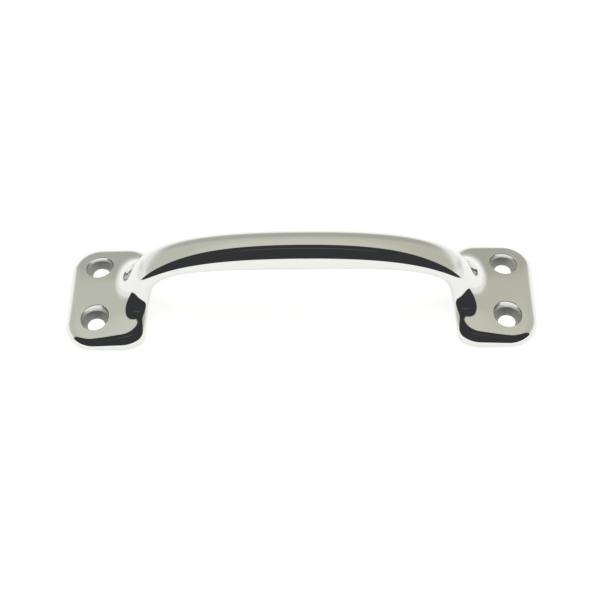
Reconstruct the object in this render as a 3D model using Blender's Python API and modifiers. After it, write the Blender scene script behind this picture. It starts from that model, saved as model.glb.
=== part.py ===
"""Grab rail for a boat: two screw-down feet and an arched hand bar, cast in one piece and polished.

Metres, +Z up. The origin is at the middle of the rail, on the surface that it is screwed to. +X runs along
the rail.
Run it with: blender --background --python part.py
"""

from math import comb, cos, pi, radians, sin, tan

import bmesh
import bpy
import numpy as np

MM = 0.001

# Overall sizes
RAIL_LENGTH = 155.0 * MM        # from end to end, over both feet
CROWN_HEIGHT = 25.4 * MM        # from the mounting surface to the bar's centre, at mid length

# Hand bar: round at mid length, and an upright oval where it comes down as the leg
BAR_RADIUS = 6.38 * MM          # at mid length
LEG_THICKNESS = 4.0 * MM        # half the leg's size along the rail
LEG_WIDTH = 9.0 * MM            # half the leg's size across the rail, at the mounting surface
THIN_FROM = 0.46                # place along the spine, from 0 at mid length to 1, where it is fully thin
WIDEN_FROM = 0.595             # place along the spine where the leg starts to widen
LEG_INSET = 4.0 * MM            # from the inner face to the foot of the spine
ROOT_FILLET = 15.4 * MM         # reach of the blend between leg and foot

# Control points of the bar's spine, as shares of its foot's distance from the middle and of CROWN_HEIGHT
SPINE_SHAPE = ((0.0, 1.0), (0.52, 1.0), (1.07, 1.0), (0.885, 0.425), (1.013, 0.15), (1.0, 0.0))

# Feet
FOOT_LENGTH = 26.3 * MM         # along the rail, from the rail's end to the flat inner face
FOOT_WIDTH = 41.2 * MM          # across the rail
OUTER_CORNER = 10.0 * MM        # radius in plan, at the rail's ends
INNER_CORNER = 9.2 * MM         # radius in plan, under the bar, before the inner face is cut
CUT_BACK = 2.1 * MM             # by which the inner face cuts into the foot's rounded inner edge
INNER_EDGE = 2.2 * MM           # reach of the rounding where the inner face meets the rest
ARCH_FILLET = 2.0 * MM          # reach of the blend where the inner face turns into the bar's underside
END_THICKNESS = 4.5 * MM        # of the wedge-shaped foot, at its thin outer end
WEDGE_SLOPE = 0.074             # rise of the foot's top towards the bar
DOME_RADIUS = 103.0 * MM        # of the foot's top, across the rail
EDGE_WALL = 0.5 * MM            # upright part of the foot's edge, under its rounding
EDGE_ROUND_MOST = 4.6 * MM      # largest rounding of the edge, where the foot is thick
EDGE_ROUND_LEAST = 0.3 * MM
EDGE_ROUND_EASE = 2.0 * MM      # reach of the blend between a rounding that grows and the largest

# Screw holes, alike in all four places
HOLE_INSET = 10.0 * MM          # from the rail's end and from the foot's side to the hole's centre
SCREW_RADIUS = 2.85 * MM        # clearance for a 5 mm screw
HEAD_RADIUS = 4.7 * MM          # clearance for its countersunk head
BORE_LAND = 0.3 * MM            # straight bore under the cone
CONE_ANGLE = 90.0               # degrees, all round
CUT_MARGIN = 3.0 * MM           # by which a cutter stands past the metal

# Fineness of the mesh
RING_POINTS = 56
FOOT_RINGS = 15
BAR_RINGS = 14
HOLE_SIDES = 32
EVENING_STEPS = 30
NEWTON_STEPS = 8
DIFFERENCE = 0.001 * MM         # step for slopes worked out by differences
LONGEST_STEP = 2.0 * MM         # of a point on its way to the surface
LEAST_SLOPE = 0.2               # floor for a divisor, where the field is nearly level
HALVINGS = 40                   # of the interval in which the foot's outline is sought
EDGE_SHARE, TOP_SHARE = 0.27, 0.7   # of the foot's rings, up to the top's edge and to the root of the leg
LEG_TOP = 0.6                   # place along the spine where the foot's rings hand over to the bar's
EDGE_STEP, EDGE_STEP_MOST = 0.8, 0.4    # of the edge's rounding and of the way in to the leg, for the edge's rings
SPINE_SAMPLES = 60              # places tried along the spine before Newton's method

POLISHED_STEEL = (0.62, 0.61, 0.58, 1.0)

INNER_FACE = RAIL_LENGTH / 2 - FOOT_LENGTH      # x of the flat face under the arch
BLOCK_LENGTH = FOOT_LENGTH + CUT_BACK           # of the foot before that face is cut
FOOT_CENTRE = (RAIL_LENGTH - BLOCK_LENGTH) / 2
SPINE_FOOT = INNER_FACE + LEG_INSET
SPINE = np.array(SPINE_SHAPE) * (SPINE_FOOT, CROWN_HEIGHT)
ROOT_REACH = np.array([6.0, 11.0]) * MM         # half sizes of the ring where the net leaves the foot's top


# The shape is a field: negative inside the metal, zero on its skin. Its arguments are arrays. x is the
# distance from the rail's middle along its length, because both halves are alike.


def bezier(points, t):
    """A Bezier curve: each control point times its Bernstein weight, added up."""
    order = len(points) - 1
    weights = [comb(order, i) * (1 - t) ** (order - i) * t**i for i in range(order + 1)]
    return sum(weight[..., None] * point for weight, point in zip(weights, points))


def spine_at(t):
    """Point, first and second derivative of the bar's spine, in the upright plane along the rail."""
    first = (len(SPINE) - 1) * np.diff(SPINE, axis=0)
    second = (len(first) - 1) * np.diff(first, axis=0)
    return bezier(SPINE, t), bezier(first, t), bezier(second, t)


def bar_thickness(t, middle=BAR_RADIUS):
    """Half the bar's size in its own upright plane. It thins towards the leg along a squared cosine."""
    share = np.clip(t / THIN_FROM, 0, 1)
    return LEG_THICKNESS + (middle - LEG_THICKNESS) * np.cos(pi / 2 * share) ** 2


def bar_width(t):
    """Half the bar's size across the rail. It widens towards the foot along a smooth step."""
    share = np.clip((t - WIDEN_FROM) / (1 - WIDEN_FROM), 0, 1)
    return BAR_RADIUS + (LEG_WIDTH - BAR_RADIUS) * share**2 * (3 - 2 * share)


def nearest_on_spine(x, z, t=None):
    """The spine's parameter nearest to each point: the best of a row of samples, then Newton's method."""
    if t is None:
        samples = np.linspace(0, 1, SPINE_SAMPLES)
        place = spine_at(samples)[0]
        t = samples[((x[..., None] - place[:, 0]) ** 2 + (z[..., None] - place[:, 1]) ** 2).argmin(-1)]
    for _ in range(3):
        place, first, second = spine_at(t)
        gap = place - np.stack([x, z], -1)
        speed = (first**2).sum(-1)
        bend = np.maximum(speed + (gap * second).sum(-1), LEAST_SLOPE * speed)
        t = np.clip(t - (gap * first).sum(-1) / bend, 0, 1)
    return t


def blend(a, b, reach):
    """The smaller of two fields, with a cubic fillet where they are nearly equal."""
    share = np.maximum(reach - np.abs(a - b), 0) / reach
    return np.minimum(a, b) - share**3 * reach / 6


def foot_plan(x, y):
    """Distance outside the foot's outline: a rectangle with two corner radii."""
    corner = np.where(x > FOOT_CENTRE, OUTER_CORNER, INNER_CORNER)
    past_x = np.abs(x - FOOT_CENTRE) - BLOCK_LENGTH / 2 + corner
    past_y = np.abs(y) - FOOT_WIDTH / 2 + corner
    outside = np.hypot(np.maximum(past_x, 0), np.maximum(past_y, 0))
    return outside + np.minimum(np.maximum(past_x, past_y), 0) - corner


def foot_top(x, y):
    """Height of the foot's top: a wedge that rises towards the bar, domed across."""
    return END_THICKNESS + WEDGE_SLOPE * (RAIL_LENGTH / 2 - x) - y**2 / (2 * DOME_RADIUS)


def foot_field(x, y, z):
    """The outline and the top meet in a rounding as deep as the foot is thick, less the upright wall."""
    top = foot_top(x, y)
    radius = np.clip(top - EDGE_WALL, EDGE_ROUND_LEAST, None)
    radius = blend(radius, EDGE_ROUND_MOST + 0 * radius, EDGE_ROUND_EASE)
    side = foot_plan(x, y) + radius
    over = (z - top) / np.hypot(1, WEDGE_SLOPE) + radius
    corner = np.hypot(np.maximum(side, 0), np.maximum(over, 0))
    return np.minimum(np.maximum(side, over), 0) + corner - radius


def oval(across, y, thickness, width):
    """Distance from an oval, near its outline: its equation, divided by the length of its slope."""
    size = np.sqrt((across / thickness) ** 2 + (y / width) ** 2)
    slope = np.sqrt((across / thickness**2) ** 2 + (y / width**2) ** 2)
    return size * (size - 1) / np.maximum(slope, LEAST_SLOPE / width)


def rail_field(points, t=None):
    """Foot and bar flow into each other, and both are cut to the rail's side view, so that the inner face is
    flat and runs on into the bar's underside. At mid length the side view is too large to touch the bar. The
    spine's parameter is returned too, as a start for the next search near the same points."""
    x, y, z = np.moveaxis(points, -1, 0)
    t = nearest_on_spine(x, z, t)
    place = spine_at(t)[0]
    from_spine = np.hypot(place[..., 0] - x, place[..., 1] - z)
    bar = oval(from_spine, y, bar_thickness(t), bar_width(t))
    body = blend(foot_field(x, y, z), bar, ROOT_FILLET)
    side_view = from_spine - bar_thickness(t, BAR_RADIUS + INNER_EDGE)
    side_view = blend(side_view, INNER_FACE - x, ARCH_FILLET)
    return -blend(-body, -side_view, INNER_EDGE), t


def slope_of(points, t):
    """The field's slope along X, Y and Z, by central differences."""
    steps = np.eye(3) * DIFFERENCE
    ahead = np.stack([rail_field(points + step, t)[0] for step in steps], -1)
    behind = np.stack([rail_field(points - step, t)[0] for step in steps], -1)
    return (ahead - behind) / (2 * DIFFERENCE)


# A first net of rings, from the foot's outline at the base, over the foot, up the leg and along the bar.


def outline_ring(angles):
    """The foot's outline, found along rays from its middle by halving the interval."""
    start = np.array([(RAIL_LENGTH / 2 + INNER_FACE) / 2, 0.0])
    rays = np.stack([np.cos(angles) * FOOT_LENGTH / 2, np.sin(angles) * FOOT_WIDTH / 2], -1)
    rays /= np.linalg.norm(rays, axis=1)[:, None]
    near, far = np.zeros(len(angles)), np.full(len(angles), FOOT_LENGTH + FOOT_WIDTH)
    for _ in range(HALVINGS):
        middle = (near + far) / 2
        x, y = (start + rays * middle[:, None]).T
        inside = np.maximum(foot_plan(x, y), INNER_FACE - x) < 0
        near, far = np.where(inside, middle, near), np.where(inside, far, middle)
    return start + rays * near[:, None]


def bar_ring(t, angles):
    """Ovals across the spine, one for each value of t."""
    t = np.atleast_1d(t)
    place, first, _ = spine_at(t)
    along = first / np.linalg.norm(first, axis=1)[:, None]
    out = np.stack([-along[:, 1], along[:, 0]], -1)[:, None, :]
    swing = (bar_thickness(t)[:, None] * np.cos(angles))[..., None] * out + place[:, None, :]
    return np.stack([swing[..., 0], bar_width(t)[:, None] * np.sin(angles), swing[..., 1]], -1)


def first_net():
    """Rings of the half with positive X: up the edge, in over the top, up the leg, then along the bar."""
    angles = np.linspace(0, 2 * pi, RING_POINTS, endpoint=False)
    outline = outline_ring(angles)
    root = np.stack([np.cos(angles), np.sin(angles)], -1) * ROOT_REACH + (SPINE_FOOT, 0)
    inward = root - outline
    gap = np.linalg.norm(inward, axis=1)
    thickness = foot_top(*outline.T)
    rounding = np.minimum(EDGE_STEP * np.minimum(thickness, EDGE_ROUND_MOST), EDGE_STEP_MOST * gap)
    edge = outline + inward * (rounding / gap)[:, None]
    edge_height = np.minimum(thickness, EDGE_ROUND_MOST)
    root_height = foot_top(*root.T)
    low, high = np.column_stack([root, root_height]), bar_ring(LEG_TOP, angles)[0]
    rings = []
    for share in np.linspace(0, 1, FOOT_RINGS + 1):
        if share < EDGE_SHARE:
            rise = share / EDGE_SHARE * pi / 2
            plan = outline + (edge - outline) * (1 - cos(rise))
            rings.append(np.column_stack([plan, edge_height * sin(rise)]))
        elif share < TOP_SHARE:
            part = (share - EDGE_SHARE) / (TOP_SHARE - EDGE_SHARE)
            height = edge_height + (root_height - edge_height) * part
            rings.append(np.column_stack([edge + (root - edge) * part, height]))
        else:
            rings.append(low + (high - low) * (share - TOP_SHARE) / (1 - TOP_SHARE))
    along_bar = np.linspace(LEG_TOP, 0, BAR_RINGS + 1)[1:]
    return np.concatenate([rings, bar_ring(along_bar, angles)])


def newton_step(net, t):
    """Moves each point down the field's slope to where the field should be zero. The base ring stays on the
    base, and the last ring on the rail's middle plane."""
    value, t = rail_field(net, t)
    slope = slope_of(net, t)
    slope[0, :, 2] = 0
    slope[-1, :, 0] = 0
    step = slope * (value / np.maximum((slope**2).sum(-1), LEAST_SLOPE**2))[..., None]
    length = np.linalg.norm(step, axis=-1, keepdims=True)
    return net - step * np.minimum(1, LONGEST_STEP / np.maximum(length, DIFFERENCE)), t


def evened(net):
    """Moves each point half way to the mean of its four neighbours, all but the first and last rings."""
    inner = net[1:-1]
    mean = (net[:-2] + net[2:] + np.roll(inner, 1, axis=1) + np.roll(inner, -1, axis=1)) / 4
    return np.concatenate([net[:1], (inner + mean) / 2, net[-1:]])


def draw_onto_skin(net):
    """Evens the net out while it settles on the skin, then closes in on it."""
    t = None
    for _ in range(EVENING_STEPS):
        net, t = newton_step(evened(net), t)
    for _ in range(NEWTON_STEPS):
        net, t = newton_step(net, t)
    return net


def blank_mesh():
    """The rail before drilling: rings from one foot's outline to the other's, closed by two flat bases."""
    half = draw_onto_skin(first_net())
    mirrored = half[:-1] * (-1, 1, 1)
    rings = np.concatenate([half, mirrored[::-1]])
    count, around = rings.shape[:2]
    index = np.arange(count * around).reshape(count, around)
    ahead = np.roll(index, -1, axis=1)
    sides = np.stack([index[:-1], ahead[:-1], ahead[1:], index[1:]], -1).reshape(-1, 4)
    faces = sides.tolist() + [index[0, ::-1].tolist(), index[-1].tolist()]
    mesh = bpy.data.meshes.new("rail_casting")
    mesh.from_pydata(rings.reshape(-1, 3).tolist(), [], faces)
    work = bmesh.new()
    work.from_mesh(mesh)
    bmesh.ops.recalc_face_normals(work, faces=work.faces[:])
    work.to_mesh(mesh)
    work.free()
    return mesh


def collection(name):
    made = bpy.data.collections.new(name)
    bpy.context.scene.collection.children.link(made)
    return made


def polished_steel():
    """Mirror-polished stainless steel."""
    material = bpy.data.materials.new("polished_steel")
    material.use_nodes = True
    shader = material.node_tree.nodes["Principled BSDF"]
    shader.inputs["Base Color"].default_value = POLISHED_STEEL
    shader.inputs["Metallic"].default_value = 1.0
    shader.inputs["Roughness"].default_value = 0.06
    return material


def screw_hole_cutter(name, x, y, place):
    """A turned cutter: screw bore, cone for the head, and a straight wall up through the sloping top."""
    cone_top = BORE_LAND + (HEAD_RADIUS - SCREW_RADIUS) / tan(radians(CONE_ANGLE / 2))
    above = foot_top(SPINE_FOOT, 0.0) + CUT_MARGIN
    profile = [
        (0.0, above),
        (HEAD_RADIUS, above),
        (HEAD_RADIUS, cone_top),
        (SCREW_RADIUS, BORE_LAND),
        (SCREW_RADIUS, -CUT_MARGIN),
        (0.0, -CUT_MARGIN),
    ]
    mesh = bpy.data.meshes.new(name)
    lines = [(i, i + 1) for i in range(len(profile) - 1)]
    mesh.from_pydata([(radius, 0.0, height) for radius, height in profile], lines, [])
    cutter = bpy.data.objects.new(name, mesh)
    cutter.location = (x, y, 0.0)
    cutter.hide_render = True
    cutter.display_type = "WIRE"
    turn = cutter.modifiers.new("turn", "SCREW")
    turn.axis = "Z"
    turn.steps = turn.render_steps = HOLE_SIDES
    turn.use_merge_vertices = True
    turn.merge_threshold = 0.0001 * MM
    place.objects.link(cutter)
    return cutter


def main():
    for old in list(bpy.data.objects):
        bpy.data.objects.remove(old, do_unlink=True)
    parts, cutters = collection("grab_rail"), collection("cutters")
    rail = bpy.data.objects.new("rail_casting", blank_mesh())
    rail.data.materials.append(polished_steel())
    parts.objects.link(rail)
    hole_x = RAIL_LENGTH / 2 - HOLE_INSET
    hole_y = FOOT_WIDTH / 2 - HOLE_INSET
    for end, x in (("left", -hole_x), ("right", hole_x)):
        for side, y in (("near", -hole_y), ("far", hole_y)):
            cut = rail.modifiers.new(f"{end}_{side}_hole", "BOOLEAN")
            cut.operation = "DIFFERENCE"
            cut.solver = "EXACT"
            cut.object = screw_hole_cutter(f"{end}_{side}_cutter", x, y, cutters)
    rail.data.shade_smooth()
    rail.data.set_sharp_from_angle(angle=radians(35))


main()
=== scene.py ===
# %% [markdown]
# # A polished grab rail, worked out as one surface
# A grab rail is a hand hold that is screwed to a deck or a coaming. This one is a single casting: two feet
# and a bar, with no joint anywhere, ground and polished to a mirror. A mirror shows no colour of its own,
# so two things make the picture: the exact flow of the surface, and what there is around it to reflect. The
# lesson works the surface out with numpy, then drills it, and then gives it its finish and its studio.

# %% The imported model
from math import comb, cos, pi, radians, sin

import bmesh
import bpy
import numpy as np
from mathutils import Matrix, Vector


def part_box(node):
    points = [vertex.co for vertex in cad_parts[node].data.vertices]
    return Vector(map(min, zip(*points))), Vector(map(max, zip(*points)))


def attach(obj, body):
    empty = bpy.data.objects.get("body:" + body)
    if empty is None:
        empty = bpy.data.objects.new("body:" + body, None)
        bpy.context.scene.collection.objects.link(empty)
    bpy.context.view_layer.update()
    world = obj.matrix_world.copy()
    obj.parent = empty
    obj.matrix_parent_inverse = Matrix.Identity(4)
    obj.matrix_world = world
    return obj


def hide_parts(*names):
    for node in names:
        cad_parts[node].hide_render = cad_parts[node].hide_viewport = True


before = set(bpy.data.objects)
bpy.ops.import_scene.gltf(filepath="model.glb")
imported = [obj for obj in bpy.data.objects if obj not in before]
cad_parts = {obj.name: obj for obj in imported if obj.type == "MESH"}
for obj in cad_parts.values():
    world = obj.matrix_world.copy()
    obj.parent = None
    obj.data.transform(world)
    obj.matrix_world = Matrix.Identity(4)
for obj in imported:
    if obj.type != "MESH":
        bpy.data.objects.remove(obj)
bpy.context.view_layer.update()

MM = 0.001
low, high = (np.array(corner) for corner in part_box("rail_casting"))
print("rail, mm:", np.round((high - low) / MM, 1))

# %% [markdown]
# ## Sizes
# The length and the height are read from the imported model. The others are the casting's own: a bar that is
# round at mid length and comes down as a thinner, wider leg, the wedge of the feet, the flat inner face,
# and the holes for 5 mm countersunk screws. Each is named here once, so that no number stands alone in a
# formula further down.

# %% Sizes
RAIL_LENGTH, FOOT_WIDTH = high[0] - low[0], 41.19 * MM
BAR_RADIUS = 6.38 * MM
CROWN_HEIGHT = high[2] - BAR_RADIUS
LEG_THICKNESS, LEG_WIDTH = 4.0 * MM, 9.0 * MM
THIN_FROM, WIDEN_FROM = 0.46, 0.595
LEG_INSET, ROOT_FILLET = 4.0 * MM, 15.4 * MM
FOOT_LENGTH = 26.3 * MM
OUTER_CORNER, INNER_CORNER = 10.0 * MM, 9.2 * MM
CUT_BACK, INNER_EDGE, ARCH_FILLET = 2.1 * MM, 2.2 * MM, 2.0 * MM
END_THICKNESS, WEDGE_SLOPE, DOME_RADIUS = 4.5 * MM, 0.074, 103.0 * MM
EDGE_WALL, EDGE_ROUND_LEAST = 0.5 * MM, 0.3 * MM
EDGE_ROUND_MOST, EDGE_ROUND_EASE = 4.6 * MM, 2.0 * MM
HOLE_INSET, SCREW_RADIUS, HEAD_RADIUS, BORE_LAND = 10.0 * MM, 2.85 * MM, 4.7 * MM, 0.3 * MM
SEAT_HEIGHT = BORE_LAND + HEAD_RADIUS - SCREW_RADIUS
INNER_FACE = RAIL_LENGTH / 2 - FOOT_LENGTH
BLOCK_LENGTH = FOOT_LENGTH + CUT_BACK
FOOT_CENTRE = (RAIL_LENGTH - BLOCK_LENGTH) / 2
SPINE_FOOT = INNER_FACE + LEG_INSET
print(f"bar centre at {CROWN_HEIGHT / MM:.1f} mm, spine meets the base at x = {SPINE_FOOT / MM:.1f} mm")

# %% [markdown]
# ## The bar's spine
# The middle line of the bar is an arch. A few straight runs and arcs would show their joins in the polish,
# because a mirror shows every jump in curvature. One Bezier curve has no joins: its control points are given
# as shares of the span and of the height.

# %% The spine
SPINE = np.array([(0.0, 1.0), (0.52, 1.0), (1.07, 1.0), (0.885, 0.425), (1.013, 0.15), (1.0, 0.0)])
SPINE = SPINE * (SPINE_FOOT, CROWN_HEIGHT)


def bezier(points, t):
    """Each control point times its Bernstein weight, C(n, i) (1 - t)^(n - i) t^i, added up."""
    order = len(points) - 1
    weights = [comb(order, i) * (1 - t) ** (order - i) * t**i for i in range(order + 1)]
    return sum(weight[..., None] * point for weight, point in zip(weights, points))


def spine_at(t):
    """Point, first and second derivative: a Bezier's derivative is a Bezier of its points' differences."""
    first = (len(SPINE) - 1) * np.diff(SPINE, axis=0)
    second = (len(first) - 1) * np.diff(first, axis=0)
    return bezier(SPINE, t), bezier(first, t), bezier(second, t)


def bar_thickness(t, middle=BAR_RADIUS):
    """Half the size in the bar's upright plane: the leg's, plus the swell times a squared cosine."""
    share = np.clip(t / THIN_FROM, 0, 1)
    return LEG_THICKNESS + (middle - LEG_THICKNESS) * np.cos(pi / 2 * share) ** 2


def bar_width(t):
    """Half the size across the rail: it grows towards the foot by the smooth step, 3 s^2 - 2 s^3."""
    share = np.clip((t - WIDEN_FROM) / (1 - WIDEN_FROM), 0, 1)
    return BAR_RADIUS + (LEG_WIDTH - BAR_RADIUS) * share**2 * (3 - 2 * share)


print("spine, mm, from the middle to the foot:")
print(np.round(spine_at(np.linspace(0, 1, 6))[0] / MM, 1).tolist())

# %% [markdown]
# ## The metal as a field
# A field is a number at every point of space: negative inside the metal, zero on its skin. Fields make
# fillets easy, because two shapes join by taking the smaller number, rounded off where the two are nearly
# equal. Modelling the fillet from foot to bar with a Boolean and a Bevel would leave a seam of odd
# triangles in the very place where the reflections turn fastest.

# %% Distance from the spine
SPINE_SAMPLES, SPINE_STEPS = 60, 3
LEAST_SLOPE = 0.2


def nearest_on_spine(x, z, t=None):
    """The spine's parameter nearest to each point: the best of a row of samples, then Newton steps towards
    where the gap to the point is square to the spine."""
    if t is None:
        samples = np.linspace(0, 1, SPINE_SAMPLES)
        place = spine_at(samples)[0]
        t = samples[((x[..., None] - place[:, 0]) ** 2 + (z[..., None] - place[:, 1]) ** 2).argmin(-1)]
    for _ in range(SPINE_STEPS):
        place, first, second = spine_at(t)
        gap = place - np.stack([x, z], -1)
        speed = (first**2).sum(-1)
        bend = np.maximum(speed + (gap * second).sum(-1), LEAST_SLOPE * speed)
        t = np.clip(t - (gap * first).sum(-1) / bend, 0, 1)
    return t


def blend(a, b, reach):
    """min(a, b) less reach / 6 times the cube of how nearly equal the two are: a fillet with no jump in
    curvature."""
    share = np.maximum(reach - np.abs(a - b), 0) / reach
    return np.minimum(a, b) - share**3 * reach / 6


deepest = float(blend(np.zeros(1), np.zeros(1), 6.0)[0])
print(f"two surfaces 0 mm apart, blended over 6 mm, give {deepest} mm")

# %% The foot
def foot_plan(x, y):
    """Distance outside a rectangle with rounded corners, in plan."""
    corner = np.where(x > FOOT_CENTRE, OUTER_CORNER, INNER_CORNER)
    past_x = np.abs(x - FOOT_CENTRE) - BLOCK_LENGTH / 2 + corner
    past_y = np.abs(y) - FOOT_WIDTH / 2 + corner
    outside = np.hypot(np.maximum(past_x, 0), np.maximum(past_y, 0))
    return outside + np.minimum(np.maximum(past_x, past_y), 0) - corner


def foot_top(x, y):
    """A wedge that rises towards the bar, less a dome: y squared over twice its radius."""
    return END_THICKNESS + WEDGE_SLOPE * (RAIL_LENGTH / 2 - x) - y**2 / (2 * DOME_RADIUS)


def foot_field(x, y, z):
    """Outline and top meet in a quarter round. Its radius is the thickness less a wall, up to a limit."""
    top = foot_top(x, y)
    radius = np.clip(top - EDGE_WALL, EDGE_ROUND_LEAST, None)
    radius = blend(radius, EDGE_ROUND_MOST + 0 * radius, EDGE_ROUND_EASE)
    side = foot_plan(x, y) + radius
    over = (z - top) / np.hypot(1, WEDGE_SLOPE) + radius
    corner = np.hypot(np.maximum(side, 0), np.maximum(over, 0))
    return np.minimum(np.maximum(side, over), 0) + corner - radius


def oval(across, y, thickness, width):
    """An oval's equation divided by the length of its slope, which is the distance where it is small."""
    size = np.sqrt((across / thickness) ** 2 + (y / width) ** 2)
    slope = np.sqrt((across / thickness**2) ** 2 + (y / width**2) ** 2)
    return size * (size - 1) / np.maximum(slope, LEAST_SLOPE / width)


print(f"foot top at the rail's end {foot_top(RAIL_LENGTH / 2, 0) / MM:.1f} mm, at the inner face "
      f"{foot_top(INNER_FACE, 0) / MM:.1f} mm")

# %% The rail
DIFFERENCE = 0.001 * MM


def rail_field(points, t=None):
    """Foot and bar blended, then both cut to the side view, the larger number of the two, rounded off. x is
    the distance from the middle of the rail, since its halves are alike."""
    x, y, z = np.moveaxis(points, -1, 0)
    t = nearest_on_spine(x, z, t)
    place = spine_at(t)[0]
    from_spine = np.hypot(place[..., 0] - x, place[..., 1] - z)
    bar = oval(from_spine, y, bar_thickness(t), bar_width(t))
    body = blend(foot_field(x, y, z), bar, ROOT_FILLET)
    side_view = from_spine - bar_thickness(t, BAR_RADIUS + INNER_EDGE)
    side_view = blend(side_view, INNER_FACE - x, ARCH_FILLET)
    return -blend(-body, -side_view, INNER_EDGE), t


def slope_of(points, t):
    """The field's slope along X, Y and Z: the field a little ahead less the field a little behind, over twice
    that difference."""
    steps = np.eye(3) * DIFFERENCE
    pairs = [(rail_field(points + step, t)[0], rail_field(points - step, t)[0]) for step in steps]
    return np.stack([(after - before) / (2 * DIFFERENCE) for after, before in pairs], -1)


bar_middle = np.array([[0, 0, CROWN_HEIGHT]])
print("field at the middle of the bar, mm:", np.round(rail_field(bar_middle)[0] / MM, 2))

# %% [markdown]
# ## A net of rings
# The skin is drawn as a net: closed rings, one after another, from the foot's outline, over the foot, up
# the leg and along the bar. A coarse net is laid out by rules, then pulled onto the skin. Only
# then is it made fine, by putting a smooth midpoint between all neighbours. A fine net from the start could
# fold where the rules change, at the leg's root, and a fold shows as a black nick in the polish.

# %% First net
RING_POINTS, FOOT_RINGS, BAR_RINGS = 56, 15, 14
LEG_TOP = 0.6
EDGE_SHARE, TOP_SHARE = 0.27, 0.7
EDGE_STEP, EDGE_STEP_MOST = 0.8, 0.4
ROOT_REACH = np.array([6.0, 11.0]) * MM
HALVINGS = 40


def outline_ring(angles):
    """The foot's outline: along rays from its middle, the place where the plan turns positive, by halving."""
    start = np.array([(RAIL_LENGTH / 2 + INNER_FACE) / 2, 0.0])
    rays = np.stack([np.cos(angles) * FOOT_LENGTH, np.sin(angles) * FOOT_WIDTH], -1)
    rays /= np.linalg.norm(rays, axis=1)[:, None]
    near, far = np.zeros(len(angles)), np.full(len(angles), FOOT_LENGTH + FOOT_WIDTH)
    for _ in range(HALVINGS):
        middle = (near + far) / 2
        x, y = (start + rays * middle[:, None]).T
        inside = np.maximum(foot_plan(x, y), INNER_FACE - x) < 0
        near, far = np.where(inside, middle, near), np.where(inside, far, middle)
    return start + rays * near[:, None]


def bar_rings(t, angles):
    """Ovals across the spine: its point, plus thickness times cosine outward and width times sine along Y."""
    place, first, _ = spine_at(t)
    along = first / np.linalg.norm(first, axis=1)[:, None]
    out = np.stack([-along[:, 1], along[:, 0]], -1)[:, None, :]
    swing = (bar_thickness(t)[:, None] * np.cos(angles))[..., None] * out + place[:, None, :]
    return np.stack([swing[..., 0], bar_width(t)[:, None] * np.sin(angles), swing[..., 1]], -1)


def first_net():
    """Three stretches for each ring number: a quarter ellipse up the foot's edge, a straight line in to the
    root of the leg, and a straight line up to the bar's first oval. Ovals follow, as far as the middle."""
    angles = np.linspace(0, 2 * pi, RING_POINTS, endpoint=False)
    outline = outline_ring(angles)
    root = np.stack([np.cos(angles), np.sin(angles)], -1) * ROOT_REACH + (SPINE_FOOT, 0)
    inward = root - outline
    gap = np.linalg.norm(inward, axis=1)
    edge_height = np.minimum(foot_top(*outline.T), EDGE_ROUND_MOST)
    edge = outline + inward * (np.minimum(EDGE_STEP * edge_height, EDGE_STEP_MOST * gap) / gap)[:, None]
    foot_of_leg = np.column_stack([root, foot_top(*root.T)])
    rise = np.linspace(0, 1, FOOT_RINGS + 1)[:, None]
    turn = np.clip(rise / EDGE_SHARE, 0, 1) * pi / 2
    over = np.clip((rise - EDGE_SHARE) / (TOP_SHARE - EDGE_SHARE), 0, 1)[..., None]
    up = np.clip((rise - TOP_SHARE) / (1 - TOP_SHARE), 0, 1)[..., None]
    plan = outline + (edge - outline) * (1 - np.cos(turn))[..., None]
    rings = np.dstack([plan, edge_height * np.sin(turn)])
    rings = rings + (foot_of_leg - rings) * over
    along_bar = np.linspace(LEG_TOP, 0, BAR_RINGS + 1)
    ovals = bar_rings(along_bar, angles)
    rings = rings + (ovals[0] - rings) * up
    return np.concatenate([rings, ovals[1:]])


net = first_net()
print("first net, rings and points round each:", net.shape[:2])

# %% Onto the skin
LONGEST_STEP, SHORTEST_STEP = 2.0 * MM, 0.001 * MM
LEAST_SLOPE_SQUARED = 0.05


def newton_step(net, t):
    """Down the slope by field over slope. The first ring keeps its height, the last stays at mid rail."""
    value, t = rail_field(net, t)
    slope = slope_of(net, t)
    slope[0, :, 2] = 0
    slope[-1, :, 0] = 0
    step = slope * (value / np.maximum((slope**2).sum(-1), LEAST_SLOPE_SQUARED))[..., None]
    length = np.linalg.norm(step, axis=-1, keepdims=True)
    return net - step * np.minimum(1, LONGEST_STEP / np.maximum(length, SHORTEST_STEP)), t


def evened(net):
    """Each point goes half way to the mean of its four neighbours."""
    inner = net[1:-1]
    mean = (net[:-2] + net[2:] + np.roll(inner, 1, axis=1) + np.roll(inner, -1, axis=1)) / 4
    return np.concatenate([net[:1], (inner + mean) / 2, net[-1:]])


def settled(net, evenings, steps=6):
    """Evens the net out while it settles on the skin, then closes in on the skin."""
    t = None
    for _ in range(evenings):
        net, t = newton_step(evened(net), t)
    for _ in range(steps):
        net, t = newton_step(net, t)
    return net


def doubled(net):
    """A midpoint between all neighbours, both ways: nine sixteenths of the near two, less one sixteenth of
    the next two. At an end, three eighths, six eighths and minus one eighth of the last three."""
    before, after, ahead = (np.roll(net, k, axis=1) for k in (1, -1, -2))
    middles = (9 * (net + after) - before - ahead) / 16
    net = np.stack([net, middles], 2).reshape(len(net), -1, 3)
    middles = (9 * (net[1:-2] + net[2:-1]) - net[:-3] - net[3:]) / 16
    first = (3 * net[0] + 6 * net[1] - net[2]) / 8
    last = (3 * net[-1] + 6 * net[-2] - net[-3]) / 8
    middles = np.concatenate([[first], middles, [last]])
    rows = np.stack([net[:-1], middles], 1).reshape(-1, *net.shape[1:])
    return np.concatenate([rows, net[-1:]])


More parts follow.
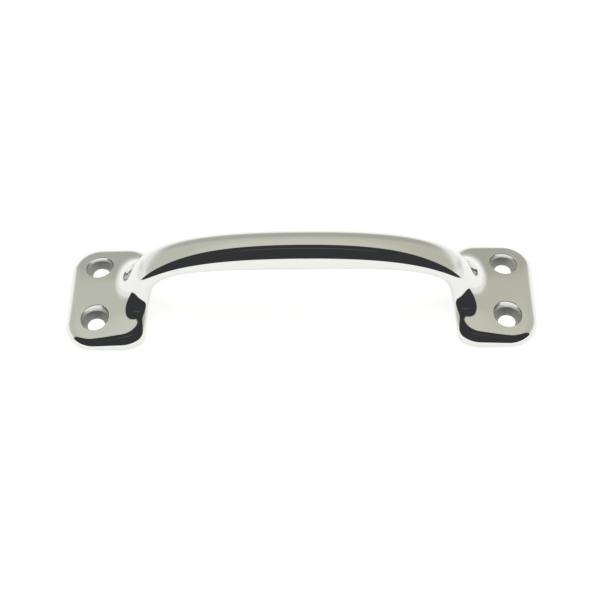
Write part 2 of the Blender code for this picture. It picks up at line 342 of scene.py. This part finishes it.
net = settled(net, evenings=30)
net = settled(doubled(net), evenings=4)
net = settled(doubled(net), evenings=4)
error = np.abs(rail_field(net[1:-1])[0]).max()
print("fine net:", net.shape[:2], f"worst distance from the skin {error / MM:.6f} mm")

# %% [markdown]
# ## Drilling
# Each foot takes two countersunk screws. A Boolean would cut the holes, but it would also leave long thin
# triangles round each rim, and a mirror shows them as scratches. So a block of the net round each hole is
# taken out, and a second net of rings goes in: from the block's border in to the rim, over a small
# rounding, down the wall, down the cone and through the bore.

# %% The rings of a hole
RIM_ROUNDING, CLEAR_OF_RIM, EDGE_BREAK = 0.25 * MM, 0.7 * MM, 0.15 * MM
APRON_RINGS, RIM_RINGS, WALL_RINGS = 11, 5, 6
TOP_STEPS, TOP_LEAST_SLOPE = 12, 0.3
HOLE_X, HOLE_Y = RAIL_LENGTH / 2 - HOLE_INSET, FOOT_WIDTH / 2 - HOLE_INSET


def on_top(plan):
    """Adds the height at which the field is zero, by Newton's method straight up and down."""
    points = np.dstack([plan, foot_top(plan[..., 0], plan[..., 1])])
    t = None
    for _ in range(TOP_STEPS):
        value, t = rail_field(points, t)
        points[..., 2] -= value / np.maximum(slope_of(points, t)[..., 2], TOP_LEAST_SLOPE)
    return points


def block_round(net, centre):
    """First and last ring and column of the smallest block that holds all points close to the hole."""
    apart = np.hypot(net[..., 0] - centre[0], net[..., 1] - centre[1])
    rings, columns = np.nonzero(apart < HEAD_RADIUS + CLEAR_OF_RIM)
    return rings.min() - 1, rings.max() + 1, columns.min() - 1, columns.max() + 1


def hole_rings(border, centre):
    """Rings from a block's border to the underside. Each point keeps its angle round the hole's centre. The
    profile, a radius and a height for each ring, starts at the rim: a quarter circle, the upright wall, the
    cone at 45 degrees, the bore, and a broken edge at the bottom."""
    offset = border[:, :2] - centre
    reach, angle = np.hypot(*offset.T), np.arctan2(offset[:, 1], offset[:, 0])
    ray = np.stack([np.cos(angle), np.sin(angle)], -1)
    rim = HEAD_RADIUS + RIM_ROUNDING
    inward = np.linspace(0, 1, APRON_RINGS + 1)[1:, None]
    apron = on_top(centre + ray * (reach + (rim - reach) * inward)[..., None])
    rim_height = apron[-1, :, 2]
    turn = np.linspace(0, pi / 2, RIM_RINGS + 1)[1:, None] + 0 * rim_height
    over = (rim - RIM_ROUNDING * np.sin(turn), rim_height - RIM_ROUNDING * (1 - np.cos(turn)))
    down = np.linspace(0, 1, WALL_RINGS + 1)[1:, None] + 0 * rim_height
    wall_top = rim_height - RIM_ROUNDING
    wall = (HEAD_RADIUS + 0 * down, wall_top + (SEAT_HEIGHT - wall_top) * down)
    depth = (HEAD_RADIUS - SCREW_RADIUS) * down
    cone = (HEAD_RADIUS - depth, SEAT_HEIGHT - depth)
    bore_radius, bore_height = np.array([[0, EDGE_BREAK], [EDGE_BREAK, 0]])[..., None] + 0 * rim_height
    bore = (SCREW_RADIUS + bore_radius, bore_height)
    radius, height = (np.concatenate(pair) for pair in zip(over, wall, cone, bore))
    return np.concatenate([apron, np.dstack([centre + ray * radius[..., None], height])])


print(f"hole centres {HOLE_X / MM:.1f} mm from the middle and {HOLE_Y / MM:.2f} mm from the centre line")

# %% [markdown]
# ## One closed mesh
# The half with positive X is put together first: the net, less its two blocks, and the rings of its two
# holes. Its mirror image shares the ring at the middle. The flat underside is filled last. It is flat, so
# the shape of its triangles doesn't matter.

# %% The half rail
def broken_edge(net):
    """Lifts the first ring by the edge break, and puts a ring under it that is as much further in."""
    inward = slope_of(net[0], rail_field(net[0])[1])[:, :2]
    inward /= np.linalg.norm(inward, axis=1)[:, None]
    sole = net[0].copy()
    sole[:, :2] -= inward * EDGE_BREAK
    lifted = net.copy()
    lifted[0, :, 2] = EDGE_BREAK
    return np.concatenate([[sole], lifted])


def strip(index):
    """The quads between neighbouring rings of a table of point numbers, closed round each ring."""
    ahead = np.roll(index, -1, axis=1)
    return np.stack([index[:-1], ahead[:-1], ahead[1:], index[1:]], -1)


def half_rail(net):
    """Points, quads, each point's share of drilled metal, and the numbers of the last ring's points. The
    share grows from 0 at the rim's rounding to 1 at the cone, as the buffing wheel reaches into the wall."""
    points = [net.reshape(-1, 3)]
    index = np.arange(net.shape[0] * net.shape[1]).reshape(net.shape[:2])
    skin = strip(index)
    kept = np.ones(skin.shape[:2], bool)
    quads, cut, total = [], [np.zeros(index.size)], index.size
    for side in (-1, 1):
        centre = np.array([HOLE_X, side * HOLE_Y])
        i0, i1, j0, j1 = block_round(net, centre)
        kept[i0:i1, j0:j1] = False
        border = np.concatenate(
            [index[i0, j0:j1], index[i0:i1, j1], index[i1, j1:j0:-1], index[i1:i0:-1, j0]]
        )
        rings = hole_rings(points[0][border], centre)
        numbers = total + np.arange(rings.shape[0] * rings.shape[1]).reshape(rings.shape[:2])
        quads.append(strip(np.vstack([border, numbers])).reshape(-1, 4))
        rim_end = APRON_RINGS + RIM_RINGS - 1
        drilled = np.clip((np.arange(len(rings)) - rim_end) / (WALL_RINGS + 1), 0, 1)
        cut.append(np.repeat(drilled, rings.shape[1]))
        points.append(rings.reshape(-1, 3))
        total += numbers.size
    quads.append(skin[kept])
    return np.concatenate(points), np.concatenate(quads), np.concatenate(cut), index[-1]


points, quads, cut, middle = half_rail(broken_edge(net))
print("half rail:", len(points), "points,", len(quads), "quads")

# %% Both halves in one mesh
SHARP_ANGLE = 32


def whole_rail(points, quads, cut, middle):
    """Mirrors the half, makes the two halves share the middle ring, and drops points that no quad uses."""
    twin = np.arange(len(points)) + len(points)
    twin[middle] = middle
    points = np.concatenate([points, points * (-1, 1, 1)])
    quads = np.concatenate([quads, twin[quads][:, ::-1]])
    used, quads = np.unique(quads, return_inverse=True)
    return points[used], quads.reshape(-1, 4), np.concatenate([cut, cut])[used]


def rail_mesh(points, quads, cut):
    """The mesh, with the share of drilled metal as an attribute, and each foot's underside filled between its
    outline and its two bores."""
    mesh = bpy.data.meshes.new("polished_rail")
    mesh.from_pydata(points, [], quads)
    mesh.attributes.new("drilled", "FLOAT", "POINT").data.foreach_set("value", cut.astype(np.float32))
    work = bmesh.new()
    work.from_mesh(mesh)
    for end in (-1, 1):
        rims = [e for e in work.edges if e.is_boundary and e.verts[0].co.x * end > 0]
        bmesh.ops.triangle_fill(work, edges=rims, use_beauty=True, normal=(0, 0, -1))
    bmesh.ops.recalc_face_normals(work, faces=work.faces[:])
    open_edges = sum(e.is_boundary for e in work.edges)
    work.to_mesh(mesh)
    work.free()
    mesh.shade_smooth()
    mesh.set_sharp_from_angle(angle=radians(SHARP_ANGLE))
    print(f"rail: {len(mesh.polygons)} faces, {open_edges} open edges")
    return mesh


rail = bpy.data.objects.new("polished_rail", rail_mesh(*whole_rail(points, quads, cut, middle)))
bpy.context.scene.collection.objects.link(rail)
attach(rail, "root")
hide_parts("rail_casting")

# %% [markdown]
# ## Sums that become nodes
# A material is a tree of nodes, and a formula made of nodes is hard to read. A small class wraps a node's
# output, so that a sum written in Python adds the Math nodes for it. The material and the light below are
# written in it.

# %% Sockets with operators
class Wires:
    """A node tree, and one way to add any node to it."""

    def __init__(self, tree):
        self.tree = tree
        tree.nodes.clear()

    def node(self, kind, settings=(), **inputs):
        """Adds a node and its settings. Each input then gets a value or a link; _0 is the first input."""
        made = self.tree.nodes.new(kind)
        for name, value in dict(settings).items():
            setattr(made, name, value)
        for name, value in inputs.items():
            key = int(name[1:]) if name[1:].isdigit() else name.replace("_", " ")
            if isinstance(value, Socket):
                self.tree.links.new(value.socket, made.inputs[key])
            else:
                made.inputs[key].default_value = value
        return made

    def out(self, made, name=0):
        return Socket(self, made.outputs[name])

    def parts(self, vector):
        """X, Y and Z of a vector."""
        split = self.node("ShaderNodeSeparateXYZ", _0=vector)
        return [self.out(split, axis) for axis in range(3)]


class Socket:
    """An output of a node. Each operator adds a Math node and gives back its output."""

    def __init__(self, wires, socket):
        self.wires, self.socket = wires, socket

    def math(self, operation, *others):
        values = {f"_{place}": value for place, value in enumerate((self, *others))}
        return self.wires.out(self.wires.node("ShaderNodeMath", {"operation": operation}, **values))

    def __add__(self, other):
        return self.math("ADD", other)

    def __sub__(self, other):
        return self.math("SUBTRACT", other)

    def __rsub__(self, other):
        return self * -1 + other

    def __mul__(self, other):
        return self.math("MULTIPLY", other)

    __radd__, __rmul__ = __add__, __mul__

    def between(self, low, high):
        """0 at low, 1 at high, and a smooth step from one to the other. Low may be the larger of the two."""
        inputs = {"Value": self, "From_Min": low, "From_Max": high}
        return self.wires.out(
            self.wires.node("ShaderNodeMapRange", {"interpolation_type": "SMOOTHSTEP"}, **inputs)
        )

    def towards(self, other, share):
        """This value where share is 0, the other where it is 1."""
        return self * (1 - share) + other * share


print("sockets add, subtract and multiply, step smoothly and blend")

# %% [markdown]
# ## The finish
# One piece of steel, finished three ways. The visible skin was ground, then buffed on a wheel: a mirror,
# though never a perfect one. It waves by some thousandths of a millimetre over a finger's width, it keeps
# faint lines along the rail, and here and there a pore of the casting is left open. The holes were drilled
# afterwards. Their walls are only as bright as the cutter left them, with a fine groove round and round.
# The underside was rubbed flat on a belt and shows straight scratches.
#
# All three are worked out from Object coordinates, in metres, so they stay on the metal wherever the rail
# goes. Heights are in millimetres, and a Bump node turns them into a change of slope.

# %% Marks in the metal
PORE_CELL, PORE_RIM, PORE_CHOICE = 1.4 * MM, (0.09, 0.04), (0.91, 0.93)
GRAIN_STRETCH, LINE_DETAIL = 100, 2.0
GROOVE_PITCH = 0.2 * MM


def noise(wires, place, scale, detail=0.0):
    """Smooth noise about zero, from -0.5 to 0.5. Scale is the number of cells in a metre."""
    made = wires.node("ShaderNodeTexNoise", Vector=place, Scale=scale, Detail=detail)
    return wires.out(made) - 0.5


def lines_along(wires, place, width):
    """Noise whose cells are a hundred times as long in X as they are wide."""
    x, y, z = wires.parts(place)
    across = 1 / width
    along = across / GRAIN_STRETCH
    stretched = wires.node("ShaderNodeCombineXYZ", _0=x * along, _1=y * across, _2=z * across)
    return noise(wires, wires.out(stretched), 1.0, LINE_DETAIL)


def open_pores(wires, place):
    """1 in small round spots. Each cell has a centre and a number, and one cell in twelve gets a spot."""
    cells = wires.node("ShaderNodeTexVoronoi", Vector=place, Scale=1 / PORE_CELL)
    number = wires.out(wires.node("ShaderNodeSeparateColor", _0=wires.out(cells, "Color")))
    return wires.out(cells, "Distance").between(*PORE_RIM) * number.between(*PORE_CHOICE)


def turned_grooves(z):
    """The track of a countersink's cutting edge: the sine of the height, one groove for each pitch."""
    return (z * (2 * pi / GROOVE_PITCH)).math("SINE")


print(f"cells of {PORE_CELL / MM:.1f} mm for the pores, a groove every {GROOVE_PITCH / MM:.1f} mm")

# %% Polished steel
STEEL = (0.765, 0.765, 0.755)
POLISH_ROUGHNESS, DRILLED_ROUGHNESS, BELT_ROUGHNESS = 0.05, 0.58, 0.33
POLISH_SPREAD, DRILLED_SPREAD, BELT_SPREAD = 0.03, 0.10, 0.25
PORE_ROUGHNESS, PORE_SHADE, PATCH_SHADE = 0.25, 0.25, 0.02
WAVE_HEIGHT, BUFF_HEIGHT, PORE_DEPTH = 0.008, 0.0003, 0.004
GROOVE_HEIGHT, SCRATCH_HEIGHT = 0.0012, 0.004
WAVE_CELLS, PATCH_CELLS, PATCH_DETAIL = 60, 120, 3.0
BUFF_WIDTH, SCRATCH_WIDTH = 0.4 * MM, 0.25 * MM
SOLE_TOP, SOLE_FULL = 0.06 * MM, 0.02 * MM


def polished_steel():
    """The three finishes are one shader: two shares, drilled and underside, choose between their numbers."""
    material = bpy.data.materials.new("polished_steel")
    material.use_nodes = True
    wires = Wires(material.node_tree)
    place = wires.out(wires.node("ShaderNodeTexCoord"), "Object")
    z = wires.parts(place)[2]
    drilled = wires.out(wires.node("ShaderNodeAttribute", {"attribute_name": "drilled"}), "Fac")
    underside = z.between(SOLE_TOP, SOLE_FULL)
    pores = open_pores(wires, place) * (1 - drilled)
    patches = noise(wires, place, PATCH_CELLS, PATCH_DETAIL)
    scratches = lines_along(wires, place, SCRATCH_WIDTH)

    polish = POLISH_ROUGHNESS + POLISH_SPREAD * patches + PORE_ROUGHNESS * pores
    cutter = DRILLED_ROUGHNESS + DRILLED_SPREAD * patches
    belt = BELT_ROUGHNESS + BELT_SPREAD * scratches
    roughness = polish.towards(cutter, drilled).towards(belt, underside)

    waves = WAVE_HEIGHT * noise(wires, place, WAVE_CELLS)
    buffed = waves + BUFF_HEIGHT * lines_along(wires, place, BUFF_WIDTH) - PORE_DEPTH * pores
    height = buffed.towards(GROOVE_HEIGHT * turned_grooves(z), drilled)
    height = height.towards(SCRATCH_HEIGHT * scratches, underside)
    normal = wires.out(wires.node("ShaderNodeBump", Height=height, Distance=MM))

    # Open pores are painted a quarter darker than the steel: painted shade in the pits.
    shade = 1 + PATCH_SHADE * patches - PORE_SHADE * pores
    channels = {f"_{place_in_row}": shade * value for place_in_row, value in enumerate(STEEL)}
    colour = wires.out(wires.node("ShaderNodeCombineColor", **channels))
    shader = wires.node(
        "ShaderNodeBsdfPrincipled", Base_Color=colour, Metallic=1.0, Roughness=roughness, Normal=normal
    )
    wires.node("ShaderNodeOutputMaterial", Surface=wires.out(shader))
    print("polished steel:", len(wires.tree.nodes), "nodes")
    return material


rail.data.materials.append(polished_steel())

# %% [markdown]
# ## The table and the lamp
# The rail lies on a white table. A white surface that is only lit comes out grey where the light falls off,
# so the table also sends out light of its own, and stays white to the corners. A large lamp overhead gives
# it the faint shadow that shows where the feet touch it. The lamp is kept out of reflections: seen in the
# polish it would be a bright square on every rounded edge.

# %% Table and lamp
TABLE_HALF_SIZE, TABLE_DROP = 3.0, 0.1 * MM
TABLE_WHITE, TABLE_GLOW = (0.85, 0.85, 0.85, 1.0), 0.62
LAMP_SIZE, LAMP_HEIGHT, LAMP_POWER = 1.0, 1.0, 2.8


def white_table():
    """A plain plane just under the rail, matt and faintly glowing."""
    mesh = bpy.data.meshes.new("white_table")
    corners = [(-1, -1, 0), (1, -1, 0), (1, 1, 0), (-1, 1, 0)]
    mesh.from_pydata(np.array(corners) * TABLE_HALF_SIZE, [], [(0, 1, 2, 3)])
    table = bpy.data.objects.new("white_table", mesh)
    table.location.z = -TABLE_DROP
    material = bpy.data.materials.new("white_table")
    material.use_nodes = True
    wires = Wires(material.node_tree)
    shader = wires.node(
        "ShaderNodeBsdfPrincipled",
        Base_Color=TABLE_WHITE,
        Roughness=1.0,
        Specular_IOR_Level=0.0,
        Emission_Color=(1.0, 1.0, 1.0, 1.0),
        Emission_Strength=TABLE_GLOW,
    )
    wires.node("ShaderNodeOutputMaterial", Surface=wires.out(shader))
    mesh.materials.append(material)
    bpy.context.scene.collection.objects.link(table)


def lamp():
    """A square lamp above the middle of the rail, which no reflection shows."""
    light = bpy.data.lights.new("lamp", "AREA")
    light.size, light.energy = LAMP_SIZE, LAMP_POWER
    hung = bpy.data.objects.new("lamp", light)
    hung.location.z = LAMP_HEIGHT
    hung.visible_glossy = False
    bpy.context.scene.collection.objects.link(hung)


white_table()
lamp()
print("table", 2 * TABLE_HALF_SIZE, "m across, lamp", LAMP_HEIGHT, "m above it")

# %% [markdown]
# ## What there is to reflect
# The picture in a mirror is the room. This room has a pale ceiling that is darkest low down at the back and
# brightest overhead, a glow just above the horizon, and one dark screen in front that reaches up to the
# zenith. The glow lets every rounded edge fade into the white table. The screen draws the dark band along
# the bar and the dark edge of the feet, and without it the steel would look like chalk. Its rim is a hard
# line, so the reflections have crisp edges though the light is soft. It is two boards, and a little light
# comes through between them.
#
# The room could be built from lamps and cards. It is painted on the world instead, as a formula of the
# direction x, y, z in which a ray leaves, so each edge can be moved by one number.

# %% The room
LEFT_TINT, RIGHT_TINT, TINT_SPAN = (0.955, 0.975, 0.85), (0.92, 0.92, 0.79), (-0.3, 0.3)
CEILING, BACK_DIP, BACK_SPAN = 0.65, 0.13, (0.64, 0.80)
ZENITH_RISE, ZENITH_SPAN = 0.10, (0.75, 1.0)
GLOW, GLOW_TOP, GLOW_FULL, GLOW_BOW = (0.98, 0.99, 0.96), 0.32, -0.03, 0.15
SCREEN, SCREEN_RIM, SCREEN_BOW, RIM_WIDTH = (0.041, 0.044, 0.046), 0.12, 0.10, 0.04
SEAM_LIGHT, SEAM_PLACE, SEAM_EDGE, SEAM_ENDS = 0.06, 0.49, (0.05, 0.01), (0.3, 0.1)


def overhead(y, z):
    """The ceiling: one value, less a dip where y is large, plus a rise where z is large."""
    return CEILING - BACK_DIP * y.between(*BACK_SPAN) + ZENITH_RISE * z.between(*ZENITH_SPAN)


def seam_between_boards(x, y):
    """A thin line where -y is the seam's place, which fades out to the sides."""
    thin = (y + SEAM_PLACE).math("ABSOLUTE").between(*SEAM_EDGE)
    return SEAM_LIGHT * thin * x.math("ABSOLUTE").between(*SEAM_ENDS)


def room():
    """For each colour: the ceiling, tinted from left to right, turned to the glow by the square of a step
    down in z, then to the screen where -y is more than its rim plus its bow times x squared."""
    world = bpy.data.worlds.new("room")
    world.use_nodes = True
    bpy.context.scene.world = world
    wires = Wires(world.node_tree)
    x, y, z = wires.parts(wires.out(wires.node("ShaderNodeTexCoord"), "Generated"))
    ceiling, seam = overhead(y, z), seam_between_boards(x, y)
    to_right = x.between(*TINT_SPAN)
    near_table = (z - GLOW_BOW * x * x).between(GLOW_TOP, GLOW_FULL)
    horizon = near_table * near_table
    screen = (-SCREEN_RIM - y - SCREEN_BOW * x * x).between(0.0, RIM_WIDTH)
    light = []
    for left, right, glow, dark in zip(LEFT_TINT, RIGHT_TINT, GLOW, SCREEN):
        above = (ceiling * left).towards(ceiling * right, to_right).towards(glow, horizon)
        light.append(above.towards(seam + dark, screen))
    channels = {f"_{place}": value for place, value in enumerate(light)}
    colour = wires.out(wires.node("ShaderNodeCombineColor", **channels))
    background = wires.node("ShaderNodeBackground", _0=colour)
    wires.node("ShaderNodeOutputWorld", Surface=wires.out(background))
    print("room:", len(wires.tree.nodes), "nodes")


room()
bpy.context.scene.view_settings.view_transform = "Standard"

# %% [markdown]
# ## The camera
# A long lens from half a metre, looking down at 52 degrees, shows the feet nearly as they are in plan and
# still lets the bar stand above them. The camera is placed by the point that it looks at: from there it
# goes back along its own line of sight, and it is turned a little about that line, as a hand-held one is.

# %% Looking down on the rail
ELEVATION, AZIMUTH, ROLL = radians(52.0), radians(2.12), radians(-2.18)
DISTANCE, AIM = 536.85 * MM, Vector((-0.41 * MM, -0.46 * MM, 0))
LENS, SENSOR_WIDTH, NEAREST = 96.7, 36, 0.01
forward = Vector((-sin(AZIMUTH) * cos(ELEVATION), cos(AZIMUTH) * cos(ELEVATION), -sin(ELEVATION)))
right = Vector((cos(AZIMUTH), sin(AZIMUTH), 0))
up = right.cross(forward)
right, up = right * cos(ROLL) + up * sin(ROLL), up * cos(ROLL) - right * sin(ROLL)
camera = bpy.data.objects.new("camera", bpy.data.cameras.new("camera"))
camera.data.lens, camera.data.sensor_width, camera.data.clip_start = LENS, SENSOR_WIDTH, NEAREST
turned = Matrix((right, up, -forward)).transposed().to_4x4()
camera.matrix_world = Matrix.Translation(AIM - forward * DISTANCE) @ turned
bpy.context.scene.collection.objects.link(camera)
bpy.context.scene.camera = camera
print("camera, mm:", [round(value / MM) for value in camera.matrix_world.translation])
